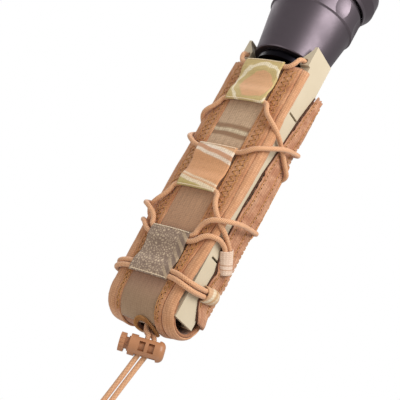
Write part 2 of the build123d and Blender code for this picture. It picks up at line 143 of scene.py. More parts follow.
def studio_world():
    """White surroundings that light the part less than they show."""
    world = bpy.data.worlds.new("studio")
    world.use_nodes = True
    tree = world.node_tree
    seen = add(tree, "ShaderNodeLightPath").outputs["Is Camera Ray"]
    strength = add(tree, "ShaderNodeMath", {0: seen, 1: STUDIO_WHITE - AMBIENT, 2: AMBIENT},
                   operation="MULTIPLY_ADD")
    background = tree.nodes["Background"]
    background.inputs["Color"].default_value = (1, 1, 1, 1)
    tree.links.new(strength.outputs[0], background.inputs["Strength"])
    bpy.context.scene.world = world


studio_world()


# ------------------------------------------------------------------ materials
def mottled(size_mm, *stops):
    """Dye that drifts between the colours of STOPS over SIZE_MM."""
    def dye(tree, uv):
        blotch = add(tree, "ShaderNodeTexNoise", {"Vector": uv, "Scale": 1 / size_mm, "Detail": 3.0})
        return add(tree, "ShaderNodeValToRGB", {"Fac": blotch.outputs["Fac"]}, stops=stops).outputs["Color"]
    return dye


def drawn(centre, size, swirl, *stops, turn=0.0, cell_mm=9.0):
    """Print in bands of colour round CENTRE, SIZE mm to one, their outline wandering by SWIRL mm."""
    def dye(tree, uv):
        drift = add(tree, "ShaderNodeTexNoise", {"Vector": uv, "Scale": 1 / cell_mm, "Detail": 1.0})
        moved = add(tree, "ShaderNodeVectorMath", {0: drift.outputs["Color"], 1: (swirl, swirl, 0), 2: uv},
                    operation="MULTIPLY_ADD")
        placed = add(tree, "ShaderNodeMapping", {
            "Vector": moved.outputs[0], "Location": (centre[0] + swirl / 2, centre[1] + swirl / 2, 0),
            "Rotation": (0, 0, turn), "Scale": (*size, 1e6)}, vector_type="TEXTURE")
        reach = add(tree, "ShaderNodeVectorMath", {0: placed.outputs[0]}, operation="LENGTH")
        return add(tree, "ShaderNodeValToRGB", {"Fac": reach.outputs["Value"]}, stops=stops).outputs["Color"]
    return dye


def weave(name, dye, gap, rib_mm, sheen=0.2, streak=0.5, contrast=0.8):
    """Woven nylon: ribs across and along RIB_MM apart, lengthwise streaks, and painted shade in the valleys:
    the dye on the high places, GAP in the low ones.
    """
    made, tree, shader = new_material(name, Roughness=0.85, Sheen_Weight=sheen, Sheen_Roughness=0.5)
    uv = add(tree, "ShaderNodeUVMap", uv_map="UVMap").outputs["UV"]
    along = add(tree, "ShaderNodeTexWave", {"Vector": uv, "Scale": 0.314 / rib_mm, "Distortion": 1.5,
                                            "Detail": 2.0, "Detail Scale": 0.8}, bands_direction="Y")
    across = add(tree, "ShaderNodeTexWave", {"Vector": uv, "Scale": 0.314 / (rib_mm * 1.3), "Distortion": 1.5,
                                             "Detail": 2.0, "Detail Scale": 0.8}, bands_direction="X")
    fibre = add(tree, "ShaderNodeTexNoise", {"Vector": uv, "Scale": 0.8 / rib_mm, "Detail": 5.0,
                                                "Roughness": 0.65})
    drawn_out = add(tree, "ShaderNodeMapping", {"Vector": uv, "Scale": (0.75, 0.07, 1.0)})
    stroke = add(tree, "ShaderNodeTexNoise", {"Vector": drawn_out.outputs[0], "Scale": 1.0, "Detail": 4.0,
                                              "Roughness": 0.7})
    ribs = add(tree, "ShaderNodeMath", {0: along.outputs["Fac"], 1: across.outputs["Fac"]},
               operation="MULTIPLY")
    soft = add(tree, "ShaderNodeMath", {0: ribs.outputs[0], 1: 0.45, 2: 0.13}, operation="MULTIPLY_ADD")
    height = add(tree, "ShaderNodeMath", {0: soft.outputs[0], 1: fibre.outputs["Fac"]}, operation="ADD")
    worn = add(tree, "ShaderNodeMath", {0: stroke.outputs["Fac"], 1: streak * 2, 2: -streak},
               operation="MULTIPLY_ADD")
    # Painted shade: the low places of the weave are drawn towards the dark GAP colour; the fibre noise and
    # the streaks add random tone.
    shade = add(tree, "ShaderNodeMath", {0: height.outputs[0], 1: contrast, 2: worn.outputs[0]},
                operation="MULTIPLY_ADD", use_clamp=True)
    mixed = add(tree, "ShaderNodeMix", {"Factor": shade.outputs[0], 6: linear(gap), 7: dye(tree, uv)},
                data_type="RGBA")
    bump = add(tree, "ShaderNodeBump", {"Height": height.outputs[0], "Strength": 0.6, "Distance": 0.35 * MM})
    tree.links.new(mixed.outputs[2], shader.inputs["Base Color"])
    tree.links.new(bump.outputs[0], shader.inputs["Normal"])
    return made


def turned_metal(name, colour, edge, rough, line_mm=0.5, metallic=1.0, strength=0.1):
    """Lathe-turned metal: rings LINE_MM apart round the axis, and a slightly uneven coat."""
    made, tree, shader = new_material(name, Metallic=metallic)
    place = add(tree, "ShaderNodeTexCoord").outputs["Object"]
    rings = add(tree, "ShaderNodeTexWave",
                {"Vector": place, "Scale": 0.314 / (line_mm * MM), "Distortion": 1.2,
                                            "Detail": 2.0, "Detail Scale": 0.02}, bands_direction="Z")
    cloud = add(tree, "ShaderNodeTexNoise", {"Vector": place, "Scale": 90.0, "Detail": 4.0})
    coat = add(tree, "ShaderNodeMix", {"Factor": cloud.outputs["Fac"], 6: linear(colour), 7: linear(edge)},
               data_type="RGBA")
    gloss = add(tree, "ShaderNodeMapRange", {"Value": cloud.outputs["Fac"], "From Min": 0.3, "From Max": 0.7,
                                             "To Min": rough - 0.05, "To Max": rough + 0.05})
    bump = add(tree, "ShaderNodeBump", {"Height": rings.outputs["Fac"], "Strength": strength,
                                        "Distance": 0.03 * MM})
    tree.links.new(coat.outputs[2], shader.inputs["Base Color"])
    tree.links.new(gloss.outputs[0], shader.inputs["Roughness"])
    tree.links.new(bump.outputs[0], shader.inputs["Normal"])
    return made


def moulded(name, colour, shade, rough, grain_mm=0.8, strength=0.12, **sockets):
    """Moulded plastic or rubber: fine grain of GRAIN_MM and a faint cloud in its colour."""
    made, tree, shader = new_material(name, Roughness=rough, **sockets)
    place = add(tree, "ShaderNodeTexCoord").outputs["Object"]
    grain = add(tree, "ShaderNodeTexNoise", {"Vector": place, "Scale": 1 / (grain_mm * MM), "Detail": 2.0})
    cloud = add(tree, "ShaderNodeTexNoise", {"Vector": place, "Scale": 70.0, "Detail": 3.0})
    mixed = add(tree, "ShaderNodeMix", {"Factor": cloud.outputs["Fac"], 6: linear(shade), 7: linear(colour)},
                data_type="RGBA")
    bump = add(tree, "ShaderNodeBump", {"Height": grain.outputs["Fac"], "Strength": strength,
                                        "Distance": 0.08 * MM})
    tree.links.new(mixed.outputs[2], shader.inputs["Base Color"])
    tree.links.new(bump.outputs[0], shader.inputs["Normal"])
    return made


# Ribs are drawn 1.1 to 2.0 mm apart, coarser than the real 0.9 mm, so that they show at arm's length.
# Woven nylon webbing dyed coyote brown: matt, ribbed, with worn lengthwise streaks and painted shade between
# the ribs.
coyote_webbing = weave("coyote_nylon_webbing", mottled(14.0, (0.35, "#c58659"), (0.65, "#e0aa7c")),
                       "#8c5233", 1.3)
# The folded binding tape on the edges of the bands: the same dye, sanded paler on its crown.
coyote_binding = weave("coyote_binding_tape", mottled(12.0, (0.35, "#d09769"), (0.65, "#dba67c")),
                       "#8f5836", 1.3, contrast=0.85)
# Heavy pack cloth in the same dye: coarser and darker.
coyote_cloth = weave("coyote_pack_cloth", mottled(18.0, (0.35, "#a97048"), (0.65, "#bd8157")), "#6d3f25", 2.0)
# Raw padded back edge: fuzzy, its dips painted dark as shade.
coyote_felt = weave("coyote_raw_edge", mottled(7.0, (0.38, "#b97d57"), (0.62, "#d6a079")), "#7c4a30", 1.5,
                    streak=0.6)
# Printed webbing, upper tunnel: khaki with a cream outline round a tan island.
print_khaki = weave("printed_webbing_khaki", drawn(
    (2.5, 168.0), (18.5, 19.0), 5.5, (0.0, "#e3ab7e"), (0.56, "#e6ae80"), (0.61, "#cfb679"),
    (0.76, "#d4bb7f"), (0.79, "#f6e6c4"), (0.86, "#f6e6c4"), (0.89, "#d2b87b"), (1.0, "#ccb274")),
    "#93794c", 1.1, streak=0.2, contrast=1.1)
# Printed webbing, middle tunnel: tan, cream bars slanting over its head and a khaki bar at its foot.
print_tan = weave("printed_webbing_tan", drawn(
    (0.0, 86.0), (1e6, 36.0), 3.0, (0.0, "#bfae6b"), (0.09, "#c4b26e"), (0.11, "#f3e0c0"), (0.16, "#f0dcb8"),
    (0.18, "#dba172"), (0.22, "#f0d9b8"), (0.25, "#dba070"), (0.66, "#dba070"), (0.68, "#f4e0c8"),
    (0.72, "#f4e0c8"), (0.74, "#d29c78"), (0.80, "#d29c78"), (0.82, "#f6e6d2"), (0.88, "#f4e0c4"),
    (0.90, "#d8a578"), turn=-0.22, cell_mm=16.0), "#a56f45", 1.1, streak=0.2, contrast=1.1)
# Printed webbing, strip between the tunnels: beige with two brown bars, then tan, then mauve brown below.
print_strip = weave("printed_webbing_strip", drawn(
    (0.0, 0.0), (1e6, 200.0), 3.0, (0.0, "#a98b6c"), (0.06, "#a08062"), (0.12, "#ab8268"), (0.26, "#a67f66"),
    (0.32, "#b78a67"), (0.45, "#c49672"), (0.52, "#cbab89"), (0.640, "#cfae8c"), (0.645, "#96714f"),
    (0.657, "#96714f"), (0.661, "#ddc8a6"), (0.669, "#ddc8a6"), (0.673, "#9a7553"), (0.684, "#9a7553"),
    (0.690, "#cfae8c"), (0.80, "#c9a684"), turn=-0.06, cell_mm=16.0),
    "#86644a", 1.2, streak=0.7, contrast=1.0)


def bark_print():
    """Printed webbing, lower tunnel: grey brown under pale scales that fade towards slanting dark bars."""
    def dye(tree, uv):
        cells = add(tree, "ShaderNodeTexVoronoi", {"Vector": uv, "Scale": 0.55}, feature="DISTANCE_TO_EDGE")
        scale = add(tree, "ShaderNodeValToRGB", {"Fac": cells.outputs["Distance"]},
                    stops=((0.05, "#846c5a"), (0.2, "#b99f86"), (0.45, "#dcc4a2")))
        bars = add(tree, "ShaderNodeTexWave", {"Vector": uv, "Scale": 0.314 / 3.2, "Distortion": 1.0},
                   bands_direction="DIAGONAL")
        bar = add(tree, "ShaderNodeValToRGB", {"Fac": bars.outputs["Fac"]},
                  stops=((0.45, "#7a6454"), (0.75, "#b39a7c")))
        place = add(tree, "ShaderNodeMapping", {"Vector": uv, "Location": (-1.0, -49.0, 0),
                                                "Scale": (0.085, 0.02, 1.0)})
        apart = add(tree, "ShaderNodeSeparateXYZ", {"Vector": place.outputs[0]})
        side = add(tree, "ShaderNodeMath", {0: apart.outputs[0], 1: 2.2, 2: 0.9}, operation="MULTIPLY_ADD",
                   use_clamp=True)
        return add(tree, "ShaderNodeMix", {"Factor": side.outputs[0], 6: scale.outputs["Color"],
                                           7: bar.outputs["Color"]}, data_type="RGBA").outputs[2]
    return weave("printed_webbing_bark", dye, "#7c6656", 1.2, streak=0.3, contrast=1.1)


print_bark = bark_print()
# Pale keeper tapes: cream with a thin tan bar or two.
keeper_pink = weave("keeper_tape_pink", drawn(
    (0.0, -9.0), (1e6, 18.0), 1.0, (0.0, "#e9cdb6"), (0.55, "#efd6c0"), (0.58, "#b98763"), (0.62, "#f0dac6"),
    (0.70, "#f0dac6"), (0.73, "#c08e6a"), (0.77, "#ecd2bc"), turn=0.1), "#b08a70", 1.3, streak=0.2)
keeper_tan = weave("keeper_tape_tan", drawn(
    (0.0, -9.0), (1e6, 18.0), 1.5, (0.0, "#d6a77c"), (0.30, "#d9ad84"), (0.34, "#f0e0c0"), (0.46, "#f0e0c0"),
    (0.50, "#caa06f"), (0.58, "#cfa878"), (0.62, "#efdcbc"), (0.72, "#d8ac80"), turn=0.5), "#9c7450", 1.3,
    streak=0.2)
# Bonded polyester thread: a golden, slightly glossy twist.
gold_thread = moulded("bonded_thread_gold", "#d29a55", "#a8713a", 0.55, grain_mm=0.3, strength=0.5)
# Thermoformed polymer sheet: satin, even, faintly grained.
tan_polymer = moulded("thermoformed_polymer_tan", "#cfc0a6", "#c2b296", 0.45, grain_mm=0.5)
# Painted shade in dark brown: the needle holes, the shadow line along the back edges and the inside of the
# drain.
painted_shade_brown = moulded("painted_shade_dark_brown", "#5a3018", "#432210", 0.9, grain_mm=0.3)
# Acetal cord lock: satin, with the soft lustre of a bare moulding.
acetal = moulded("moulded_acetal_coyote", "#b47c55", "#a06c48", 0.38, grain_mm=0.6)
# Hard-anodised aluminium, bead blasted then turned: charcoal with a violet cast.
charcoal_anodised = turned_metal("hard_anodised_aluminium", "#6d6369", "#60575d", 0.46)
# The same coat on the deep parts, painted near black as shade.
shaded_anodised = turned_metal("anodised_aluminium_painted_shade", "#1e1c22", "#151317", 0.30)
rubber = moulded("moulded_silicone_rubber", "#141415", "#0d0d0e", 0.6)
cell_sleeve = moulded("heat_shrink_sleeve", "#2c4a78", "#26406a", 0.25, grain_mm=2.0)
board = moulded("epoxy_circuit_board", "#1d5a38", "#174a2e", 0.3)
brass = turned_metal("turned_brass", "#d2ab62", "#c19a54", 0.25)
spring_steel = turned_metal("drawn_spring_steel", "#b9b9ba", "#a8a8aa", 0.25)
copper = turned_metal("bare_copper", "#c98562", "#b87352", 0.35)
painted_brass = moulded("painted_brass_snap", "#5a4634", "#4c3a2b", 0.35)
mirror_coat = turned_metal("vacuum_metallised_mirror", "#f0f0f0", "#e8e8ea", 0.08, strength=0.02)
# Phosphor under a clear dome: soft yellow.
phosphor = moulded("phosphor_dome", "#f0d060", "#e8c44c", 0.2, Coat_Weight=0.8)


def braid_material():
    """Braided nylon cover of the shock cord: crossing yarns, with painted light on their crowns and painted
    shade between them.
    """
    made, tree, shader = new_material("braided_nylon_cord", Roughness=0.7, Sheen_Weight=0.3)
    uv = add(tree, "ShaderNodeUVMap", uv_map="UVMap").outputs["UV"]
    crown = []
    for turn in (0.9, -0.9):
        turned = add(tree, "ShaderNodeMapping", {"Vector": uv, "Rotation": (0, 0, turn)})
        wave = add(tree, "ShaderNodeTexWave", {"Vector": turned.outputs[0], "Scale": 0.314 / 0.9,
                                               "Distortion": 0.6}, bands_direction="X")
        crown.append(wave.outputs["Fac"])
    top = add(tree, "ShaderNodeMath", {0: crown[0], 1: crown[1]}, operation="MAXIMUM")
    # Painted light and shade: pale on the yarn crowns, dark brown between them.
    colour = add(tree, "ShaderNodeValToRGB", {"Fac": top.outputs[0]},
                 stops=((0.2, "#9a5b35"), (0.85, "#dfaa7d")))
    bump = add(tree, "ShaderNodeBump", {"Height": top.outputs[0], "Strength": 0.5, "Distance": 0.15 * MM})
    tree.links.new(colour.outputs["Color"], shader.inputs["Base Color"])
    tree.links.new(bump.outputs[0], shader.inputs["Normal"])
    return made


def window_glass():
    made, tree, shader = new_material("coated_window_glass", Roughness=0.02, IOR=1.52,
                                      Transmission_Weight=0.95)
    place = add(tree, "ShaderNodeTexCoord").outputs["Object"]
    cloud = add(tree, "ShaderNodeTexNoise", {"Vector": place, "Scale": 60.0})
    tint = add(tree, "ShaderNodeValToRGB", {"Fac": cloud.outputs["Fac"]},
               stops=((0.3, "#eef2f6"), (0.7, "#e6eaf4")))
    tree.links.new(tint.outputs["Color"], shader.inputs["Base Color"])
    return made


cord_braid = braid_material()
glass = window_glass()
FINISH = {
    "side_wall_left": tan_polymer, "side_wall_right": tan_polymer, "lock_barrel": acetal,
    "lock_plunger": acetal, "lock_spring": spring_steel, "snap_cap": painted_brass,
    "snap_post": painted_brass,
    "tail_cap": charcoal_anodised, "tail_button": rubber, "switch_module": shaded_anodised,
    "tail_spring": brass, "cap_o_ring": rubber, "battery_cell_rear": cell_sleeve,
    "battery_cell_front": cell_sleeve, "body_tube": charcoal_anodised, "front_contact": brass,
    "driver_board": board, "heat_sink": copper, "neck_collar": shaded_anodised,
    "head_shell": charcoal_anodised, "led_board": board, "led_dome": phosphor, "reflector": mirror_coat,
    "facet_ring": charcoal_anodised, "bezel_ring": charcoal_anodised, "window": glass, "window_seal": rubber,
}
for node_name, finish in FINISH.items():
    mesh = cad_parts[node_name].data
    mesh.materials.clear()
    mesh.materials.append(finish)


# ------------------------------------------------------------------ mesh helpers
def link(name, mesh, body, *nodes):
    """Put a finished mesh in the scene, riding on BODY and standing for the CAD NODES."""
    made = bpy.data.objects.new(name, mesh)
    bpy.context.collection.objects.link(made)
    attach(made, body)
    if nodes:
        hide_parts(*nodes)
    return made


def steps(start, end, spacing):
    count = max(1, round(abs(end - start) / spacing))
    return [start + (end - start) * i / count for i in range(count + 1)]


def strip_mesh(name, place, across, along, thick, material, lift=lambda u, v: 0.0):
    """Closed flat strip: PLACE(u, v, lift) gives its surface, LIFT(u, v) its underside. UVs are mm.

    THICK is a number, or a function of (u, v).
    """
    bm = bmesh.new()
    uv_of, rings = {}, []
    deep = thick if callable(thick) else lambda u, v: thick
    outwards = 0.45 if across[-1] > across[0] else -0.45
    for v in along:
        ring = []
        for u in across:
            ring.append((u, lift(u, v) + deep(u, v)))
        for end, way in ((across[-1], outwards), (across[0], -outwards)):
            height = deep(end, v)
            ring.append((end + way * height, lift(end, v) + height / 2))
            if end == across[-1]:
                ring.extend((u, lift(u, v)) for u in reversed(across))
        made = []
        for u, height in ring:
            vertex = bm.verts.new(place(u, v, height))
            uv_of[vertex] = (u, v)
            made.append(vertex)
        rings.append(made)
    size = len(rings[0])
    for one, two in zip(rings, rings[1:]):
        for i in range(size):
            bm.faces.new((one[i], one[(i + 1) % size], two[(i + 1) % size], two[i]))
    n = len(across)
    for ring in (rings[0], rings[-1]):
        for i in range(n - 1):
            bm.faces.new((ring[i], ring[i + 1], ring[2 * n - 1 - i], ring[2 * n - i]))
        bm.faces.new((ring[n - 1], ring[n], ring[n + 1]))
        bm.faces.new((ring[2 * n], ring[2 * n + 1], ring[0]))
    bmesh.ops.recalc_face_normals(bm, faces=bm.faces)
    layer = bm.loops.layers.uv.new("UVMap")
    for face in bm.faces:
        face.smooth = True
        for loop in face.loops:
            loop[layer].uv = uv_of[loop.vert]
    mesh = bpy.data.meshes.new(name)
    bm.to_mesh(mesh)
    bm.free()
    mesh.materials.append(material)
    return mesh


def spline_points(points, spacing):
    """Points SPACING apart on the smooth NURBS line of a given route (metres in, metres out)."""
    curve = bpy.data.curves.new("route", "CURVE")
    curve.dimensions = "3D"
    curve.resolution_u = 16
    spline = curve.splines.new("NURBS")
    spline.points.add(len(points) - 1)
    for control, p in zip(spline.points, points):
        control.co = (*p, 1.0)
    spline.order_u = 3
    spline.use_endpoint_u = True
    holder = bpy.data.objects.new("route", curve)
    bpy.context.collection.objects.link(holder)
    depsgraph = bpy.context.evaluated_depsgraph_get()
    line = bpy.data.meshes.new_from_object(holder.evaluated_get(depsgraph))
    fine = [v.co.copy() for v in line.vertices]
    bpy.data.objects.remove(holder)
    lengths = [0.0]
    for a, b in zip(fine, fine[1:]):
        lengths.append(lengths[-1] + (b - a).length)
    out, j = [], 0
    for target in steps(0.0, lengths[-1], spacing):
        while j < len(fine) - 2 and lengths[j + 1] < target:
            j += 1
        span = max(lengths[j + 1] - lengths[j], 1e-9)
        out.append(fine[j].lerp(fine[j + 1], min(1.0, max(0.0, (target - lengths[j]) / span))))
    return out


def cord_mesh(name, lines, diameter, material, sides=24, yarns=6):
    """Round braided cords along LINES: two sets of yarns cross and stand a little proud."""
    bm = bmesh.new()
    uv_of = {}
    radius = diameter * MM / 2
    for line in lines:
        rings, travelled = [], 0.0
        normal = (line[1] - line[0]).orthogonal().normalized()
        for i, p in enumerate(line):
            ahead = line[min(i + 1, len(line) - 1)] - line[max(i - 1, 0)]
            tangent = ahead.normalized()
            normal = (normal - tangent * normal.dot(tangent)).normalized()
            binormal = tangent.cross(normal)
            travelled += (p - line[i - 1]).length / MM if i else 0.0
            ring = []
            for k in range(sides):
                angle = 2 * math.pi * k / sides
                twist = travelled * 1.15
                crown = max(math.sin(yarns * angle + twist * 2), math.sin(yarns * angle - twist * 2))
                reach = radius * (0.965 + 0.035 * crown)
                vertex = bm.verts.new(p + (normal * math.cos(angle) + binormal * math.sin(angle)) * reach)
                uv_of[vertex] = (angle * diameter / 2, travelled)
                ring.append(vertex)
            rings.append(ring)
        for one, two in zip(rings, rings[1:]):
            for k in range(sides):
                bm.faces.new((one[k], one[(k + 1) % sides], two[(k + 1) % sides], two[k]))
        bm.faces.new(rings[0][::-1])
        bm.faces.new(rings[-1])
    bmesh.ops.recalc_face_normals(bm, faces=bm.faces)
    layer = bm.loops.layers.uv.new("UVMap")
    for face in bm.faces:
        face.smooth = len(face.verts) == 4
        for loop in face.loops:
            loop[layer].uv = uv_of[loop.vert]
    mesh = bpy.data.meshes.new(name)
    bm.to_mesh(mesh)
    bm.free()
    mesh.materials.append(material)
    return mesh


# ------------------------------------------------------------------ stitches
def thread_tree():
    """Geometry nodes: every loose line of the input becomes a round thread with closed ends."""
    tree = bpy.data.node_groups.new("stitch_thread", "GeometryNodeTree")
    face = tree.interface
    face.new_socket("Geometry", in_out="INPUT", socket_type="NodeSocketGeometry")
    radius = face.new_socket("Thread Radius", in_out="INPUT", socket_type="NodeSocketFloat")
    facets = face.new_socket("Facets", in_out="INPUT", socket_type="NodeSocketInt")
    finish = face.new_socket("Finish", in_out="INPUT", socket_type="NodeSocketMaterial")
    face.new_socket("Geometry", in_out="OUTPUT", socket_type="NodeSocketGeometry")
    given = add(tree, "NodeGroupInput")
    lines = add(tree, "GeometryNodeMeshToCurve", {"Mesh": given.outputs["Geometry"]})
    circle = add(tree, "GeometryNodeCurvePrimitiveCircle", {"Resolution": given.outputs["Facets"],
                                                            "Radius": given.outputs["Thread Radius"]})
    swept = add(tree, "GeometryNodeCurveToMesh", {"Curve": lines.outputs["Curve"],
                                                  "Profile Curve": circle.outputs["Curve"],
                                                  "Fill Caps": True})
    smooth = add(tree, "GeometryNodeSetShadeSmooth", {"Geometry": swept.outputs["Mesh"]})
    real = add(tree, "GeometryNodeRealizeInstances", {"Geometry": smooth.outputs["Geometry"]})
    painted = add(tree, "GeometryNodeSetMaterial", {"Geometry": real.outputs["Geometry"],
                                                    "Material": given.outputs["Finish"]})
    add(tree, "NodeGroupOutput", {"Geometry": painted.outputs["Geometry"]})
    return tree, radius.identifier, facets.identifier, finish.identifier


THREAD_TREE, THREAD_RADIUS, THREAD_FACETS, THREAD_FINISH = thread_tree()


def sew(name, stitches, radius, body, material=None):
    """Bake stitches, each a short list of points in metres, into one mesh of thread."""
    points, edges = [], []
    for stitch in stitches:
        start = len(points)
        points.extend(stitch)
        edges.extend((start + i, start + i + 1) for i in range(len(stitch) - 1))
    guide = bpy.data.meshes.new("guide")
    guide.from_pydata([tuple(p) for p in points], edges, [])
    holder = bpy.data.objects.new("guide", guide)
    modifier = holder.modifiers.new("thread", "NODES")
    modifier.node_group = THREAD_TREE
    modifier[THREAD_RADIUS] = radius * MM
    modifier[THREAD_FACETS] = 6
    modifier[THREAD_FINISH] = material or gold_thread
    bpy.context.collection.objects.link(holder)
    depsgraph = bpy.context.evaluated_depsgraph_get()
    mesh = bpy.data.meshes.new_from_object(holder.evaluated_get(depsgraph))
    bpy.data.objects.remove(holder)
    return link(name, mesh, body)


def stitch_between(place, start, end, lift, rise=0.34):
    """One stitch from START to END, both (u, v): it dips into the cloth at its ends."""
    (u0, v0), (u1, v1) = start, end
    shape = ((0.0, -0.25), (0.18, rise), (0.82, rise), (1.0, -0.25))
    return [place(u0 + (u1 - u0) * t, v0 + (v1 - v0) * t, lift + h) for t, h in shape]


def zigzag(place, u, v0, v1, lift, half=1.7, pitch=1.9):
    rows = steps(v0, v1, pitch)
    return [stitch_between(place, (u + half * (-1) ** i, a), (u - half * (-1) ** i, b), lift)
            for i, (a, b) in enumerate(zip(rows, rows[1:]))]


def straight_row(place, start, end, lift, length=2.6, gap=0.5):
    (u0, v0), (u1, v1) = start, end
    total = math.hypot(u1 - u0, v1 - v0)
    count = max(1, round(total / (length + gap)))
    share = gap / (length + gap) / 2
    made = []
    for i in range(count):
        a, b = (i + share) / count, (i + 1 - share) / count
        made.append(stitch_between(place, (u0 + (u1 - u0) * a, v0 + (v1 - v0) * a),
                                   (u0 + (u1 - u0) * b, v0 + (v1 - v0) * b), lift))
    return made


# ------------------------------------------------------------------ the pouch's fabric surface
WRAP_R, FLAT_W = 4.2, 24.9            # corner radius beside the flat of the fabric, half width of that flat
PANEL_R = 121.0
WRAP_TURN = 1.30                      # how far the fabric turns round the channel, radians


def smoothstep(low, high, value):
    t = min(1.0, max(0.0, (value - low) / (high - low)))
    return t * t * (3 - 2 * t)


def profile(v):
    """Point and outward normal (y, z) of the fabric's middle at V: down the front, under, up the back."""
    if v >= FOLD_R:
        return -FOLD_R, v, -1.0, 0.0
    turn = (FOLD_R - v) / FOLD_R
    if turn <= math.pi:
        return -FOLD_R * math.cos(turn), FOLD_R - FOLD_R * math.sin(turn), -math.cos(turn), -math.sin(turn)
    return FOLD_R, FOLD_R + (turn - math.pi) * FOLD_R, 1.0, 0.0


BACK_START = FOLD_R - math.pi * FOLD_R          # V where the fabric starts up the back


def back_v(z):
    """V of the height Z on the back."""
    return BACK_START - (z - FOLD_R)


def fabric(u, v, lift):
    """The pouch's fabric surface: U across from the middle, V along, LIFT outwards, in mm."""
    y, z, ny, nz = profile(v)
    sign, w = (1 if u >= 0 else -1), abs(u)
    height = z
    turn_limit = WRAP_TURN * smoothstep(16.0, 40.0, height) if abs(ny) > 0.2 else 0.0
    flat = min(w, FLAT_W)
    angle = flat / PANEL_R
    x = PANEL_R * math.sin(angle)
    depth = PANEL_R * (1 - math.cos(angle))
    rest = w - flat
    if rest > 0:
        corner = min(rest, WRAP_R * turn_limit)
        new = angle + corner / WRAP_R
        x += WRAP_R * (math.sin(new) - math.sin(angle))
        depth += WRAP_R * (math.cos(angle) - math.cos(new))
        angle = new
        straight = rest - corner
        x += straight * math.cos(angle)
        depth += straight * math.sin(angle)
    waves = noise.noise(Vector((u * 0.09, v * 0.045, 3.7)))
    creases = noise.noise(Vector((u * 0.3, v * 0.2, 9.1)))
    pucker = waves * 0.5 + creases * 0.12
    lift += pucker * smoothstep(9.0, 22.0, w)
    out = lift * math.cos(angle) - depth
    return at(sign * (x + lift * math.sin(angle)), y + ny * out, z + nz * out)


def add_sheet(name, across, along, thick, material, nodes=(), lift=0.0, place=fabric, rough=0.0):
    """A strip of the pouch's fabric, ACROSS by ALONG, its side edges frayed by ROUGH mm."""

    def shaped(u, v, height):
        edge = abs(u - across[0]) < 0.8 or abs(u - across[-1]) < 0.8
        frayed = u + noise.noise(Vector((u * 3, v * 0.8, 1.3))) * rough if edge else u
        return place(frayed, v, height)

    mesh = strip_mesh(name, shaped, across, along, thick, material, lambda u, v: lift)
    made = link(name, mesh, "pouch", *nodes)
    return made


def cut_drain(piece):
    """Cut the round drain opening through a sheet under the light."""
    centre, radius = DRAIN[:2], DRAIN[2]
    bpy.ops.mesh.primitive_cylinder_add(vertices=64, radius=radius * MM, depth=16 * MM,
                                        location=at(*centre, 2.0))
    cutter = bpy.context.object
    modifier = piece.modifiers.new("drain", "BOOLEAN")
    modifier.operation, modifier.solver, modifier.object = "DIFFERENCE", "EXACT", cutter
    depsgraph = bpy.context.evaluated_depsgraph_get()
    cut = bpy.data.meshes.new_from_object(piece.evaluated_get(depsgraph))
    piece.modifiers.clear()
    piece.data = cut
    bpy.data.objects.remove(cutter)


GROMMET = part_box("drain_grommet")
DRAIN = ((GROMMET[0][0] + GROMMET[1][0]) / 2 / MM, ((GROMMET[0][1] + GROMMET[1][1]) / 2 - AXIS_Y) / MM,
         (GROMMET[1][0] - GROMMET[0][0]) / 2 / MM - 1.6)

CLOTH_T, BAND_T, STRIP_T = 1.9, 1.5, 0.9
across_panel = steps(-25.4, 25.4, 1.1)
add_sheet("front_panel_cloth", across_panel, steps(FABRIC_TOP - 3, FOLD_R, 2.2), CLOTH_T,
          coyote_cloth, ["front_panel"], lift=-CLOTH_T)
sling_cloth = add_sheet("bottom_sling_cloth", steps(-26, 26, 1.1), steps(FOLD_R, BACK_START, 1.6), CLOTH_T,
                        coyote_cloth, ["bottom_sling"], lift=-CLOTH_T)
add_sheet("back_panel_cloth", across_panel, steps(BACK_START, back_v(BACK_TOP), 2.2), CLOTH_T,
          coyote_cloth, ["back_panel"], lift=-CLOTH_T)
cut_drain(sling_cloth)

STRIP_END = FOLD_R - FOLD_R * 1.15     # the printed strip stops short of the drain
centre_strip = add_sheet("centre_strip_cloth", steps(-13.8, 13.8, 1.2), steps(FABRIC_TOP - 3, STRIP_END, 1.8),
                         STRIP_T, print_strip, ["centre_strip"])

BAND_INNER, BAND_WIDE, BINDING_WIDE = 14.0, 11.5, 7.0
BAND_EDGE = ((10.0, 26.2), (26.0, 26.4), (46.0, 28.0), (67.0, 28.8), (89.0, 31.0), (105.0, 32.0),
             (124.0, 32.0), (151.0, 29.6), (185.0, 30.5))


def between(table, value):
    """Reading of a table of (place, value) pairs, straight between its rows."""
    for (a, x), (b, y) in zip(table, table[1:]):
        if value <= b:
            return x + (y - x) * min(1.0, max(0.0, (value - a) / (b - a)))
    return table[-1][1]


def band_edge(v):
    """Outer edge of a front band: round the channel's corner high up, narrower where it folds under."""
    return between(BAND_EDGE, v)


def crease(v):
    """Where the flat of a front band meets its folded binding."""
    return 18.6 + 6.6 * smoothstep(14.0, 88.0, v)


def banded(side, inner, outer, wide):
    """Placing function of a strip WIDE mm across that is fitted between the two edges INNER and OUTER."""
    def place(u, v, lift):
        low, high = inner(v), outer(v)
        return fabric(side * (low + u * (high - low) / wide), v, lift)
    return place


